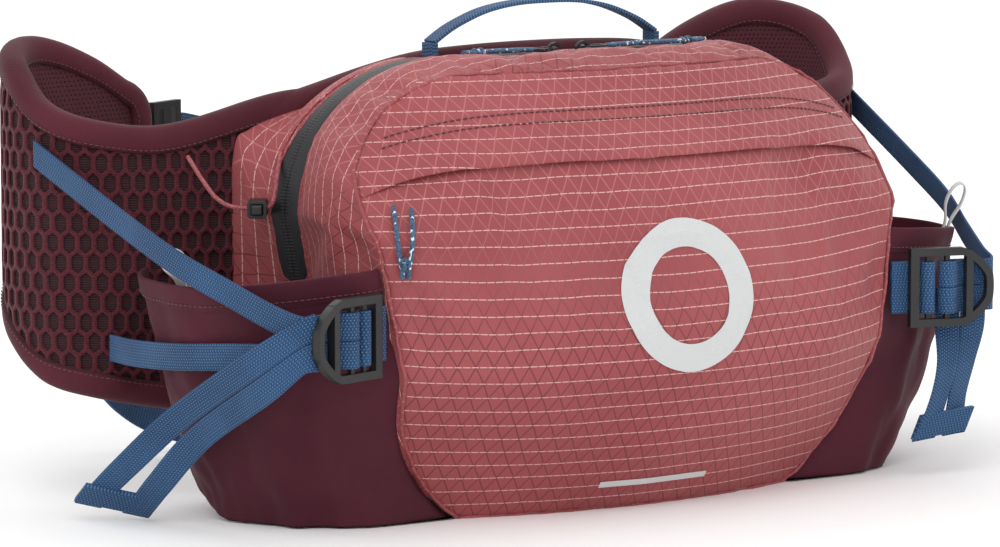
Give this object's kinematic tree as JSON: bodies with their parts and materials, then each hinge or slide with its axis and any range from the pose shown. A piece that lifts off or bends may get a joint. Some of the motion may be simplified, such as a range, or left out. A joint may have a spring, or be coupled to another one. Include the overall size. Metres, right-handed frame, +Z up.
{
  "type": "waist pack",
  "caption": "Lumbar waist pack with a zipped main compartment, a flapped front pocket, open stretch side pockets, a padded mesh belt and ladder-lock compression straps.",
  "frame": {"origin": "on the ground, under the centre of the bounding box without its cords", "axes": "+Z up, -Y towards the front panel, +X to the right of someone facing the front"},
  "size_m": [0.4784, 0.2906, 0.2317],
  "materials": {
    "shell_fabric": "coated ripstop weave with pale dashed grid threads",
    "stretch_fabric": "smooth stretch knit",
    "spacer_mesh": "open hexagonal spacer mesh",
    "binding": "satin binding tape",
    "foam": "closed-cell foam",
    "webbing": "two-tone woven webbing",
    "cord": "flecked round cord",
    "bungee": "braided elastic cord",
    "buckle_plastic": "moulded acetal",
    "zip_tape": "matt coated tape",
    "zip_coil": "nylon coil",
    "slider_metal": "black painted die casting",
    "reflective": "grey reflective print and tape",
    "frame_plastic": "flat HDPE sheet"
  },
  "bodies": {
    "bag": {"front_panel": "shell_fabric", "front_flap": "shell_fabric", "gusset_front": "shell_fabric", "gusset_rear": "shell_fabric", "base_panel": "shell_fabric", "back_panel": "shell_fabric", "pocket_divider": "shell_fabric", "front_zip_tape": "zip_tape", "main_zip_tape": "zip_tape", "main_zip_coil": "zip_coil", "frame_sheet": "frame_plastic", "lumbar_foam": "foam", "lumbar_mesh": "spacer_mesh", "badge": "reflective", "reflective_strip": "reflective", "handle_feet": "webbing", "belt_webbing_left": "webbing", "belt_webbing_right": "webbing", "belt_tail": "webbing", "belt_adjuster": "buckle_plastic", "buckle_socket": "buckle_plastic", "cord_lock_left": "buckle_plastic", "lock_tab_left": "webbing", "lock_strap_left": "webbing", "wing_foam_left": "foam", "wing_outer_mesh_left": "spacer_mesh", "wing_inner_mesh_left": "spacer_mesh", "wing_binding_left": "binding", "side_pocket_left": "stretch_fabric", "pocket_hem_left": "stretch_fabric", "finger_loop_left": "reflective", "bungee_left": "bungee", "cord_lock_right": "buckle_plastic", "lock_tab_right": "webbing", "lock_strap_right": "webbing", "wing_foam_right": "foam", "wing_outer_mesh_right": "spacer_mesh", "wing_inner_mesh_right": "spacer_mesh", "wing_binding_right": "binding", "side_pocket_right": "stretch_fabric", "pocket_hem_right": "stretch_fabric", "finger_loop_right": "reflective", "bungee_right": "bungee"},
    "slider_left": {"main_slider_left": "slider_metal"},
    "slider_right": {"main_slider_right": "slider_metal"},
    "ring_left": {"pull_ring_left": "slider_metal", "pull_cord_left": "cord"},
    "ring_right": {"pull_ring_right": "slider_metal", "pull_cord_right": "cord"},
    "front_slider": {"front_slider": "slider_metal", "front_pull_cord": "cord"},
    "lock_left": {"ladder_lock_left": "buckle_plastic"},
    "lock_right": {"ladder_lock_right": "buckle_plastic"},
    "plunger_left": {"cord_plunger_left": "buckle_plastic"},
    "plunger_right": {"cord_plunger_right": "buckle_plastic"},
    "handle": {"grab_handle": "webbing"},
    "plug": {"buckle_plug": "buckle_plastic"},
    "prong_lower": {"buckle_prong_lower": "buckle_plastic"},
    "prong_upper": {"buckle_prong_upper": "buckle_plastic"}
  },
  "joints": [
    {"name": "main_zip_left", "type": "hinge", "parent": "bag", "child": "slider_left", "pos_m": [0, 0.468, 0.207], "axis": [0, 0, -1], "range_deg": [0, 7.15]},
    {"name": "pull_ring_flip_left", "type": "hinge", "parent": "slider_left", "child": "ring_left", "pos_m": [-0.008, -0.04694, 0.2099], "axis": [0, 1, 0], "range_deg": [0, 100]},
    {"name": "main_zip_right", "type": "hinge", "parent": "bag", "child": "slider_right", "pos_m": [0, 0.468, 0.207], "axis": [0, 0, 1], "range_deg": [0, 7.15]},
    {"name": "pull_ring_flip_right", "type": "hinge", "parent": "slider_right", "child": "ring_right", "pos_m": [0.008, -0.04694, 0.2099], "axis": [0, -1, 0], "range_deg": [0, 100]},
    {"name": "front_zip_travel", "type": "hinge", "parent": "bag", "child": "front_slider", "pos_m": [0, 0.178, 0.16], "axis": [0, 0, 1], "range_deg": [0, 46]},
    {"name": "ladder_lock_tilt_left", "type": "hinge", "parent": "bag", "child": "lock_left", "pos_m": [-0.15903, -0.11968, 0.0923], "axis": [0, 0, 1], "range_deg": [0, 30], "deforming": ["lock_tab_left", "lock_strap_left"]},
    {"name": "ladder_lock_tilt_right", "type": "hinge", "parent": "bag", "child": "lock_right", "pos_m": [0.15903, -0.11968, 0.0923], "axis": [0, 0, -1], "range_deg": [0, 30], "deforming": ["lock_tab_right", "lock_strap_right"]},
    {"name": "cord_lock_press_left", "type": "slide", "parent": "bag", "child": "plunger_left", "axis": [0.5548, 0.832, 0], "range_m": [0, 0.0025], "stiffness_N_per_m": 200, "springref_m": -0.004},
    {"name": "cord_lock_press_right", "type": "slide", "parent": "bag", "child": "plunger_right", "axis": [-0.5548, 0.832, 0], "range_m": [0, 0.0025], "stiffness_N_per_m": 200, "springref_m": -0.004},
    {"name": "handle_fold", "type": "hinge", "parent": "bag", "child": "handle", "pos_m": [0, -0.024, 0.21275], "axis": [-1, 0, 0], "range_deg": [-25, 75], "deforming": ["handle_feet"]},
    {"name": "buckle_release", "type": "slide", "parent": "bag", "child": "plug", "axis": [1, 0, 0], "range_m": [0, 0.034], "deforming": ["belt_webbing_right", "buckle_prong_lower", "buckle_prong_upper"]},
    {"name": "prong_squeeze_lower", "type": "hinge", "parent": "plug", "child": "prong_lower", "pos_m": [0.0001, 0.141, 0.141], "axis": [0, 1, 0], "range_deg": [0, 7], "stiffness_Nm_per_rad": 0.05, "springref_deg": -2.86},
    {"name": "prong_squeeze_upper", "type": "hinge", "parent": "plug", "child": "prong_upper", "pos_m": [0.0001, 0.141, 0.155], "axis": [0, -1, 0], "range_deg": [0, 7], "stiffness_Nm_per_rad": 0.05, "springref_deg": -2.86}
  ],
  "couplings": [
    {"joint": "prong_squeeze_upper", "follows": "prong_squeeze_lower", "ratio": 1}
  ]
}
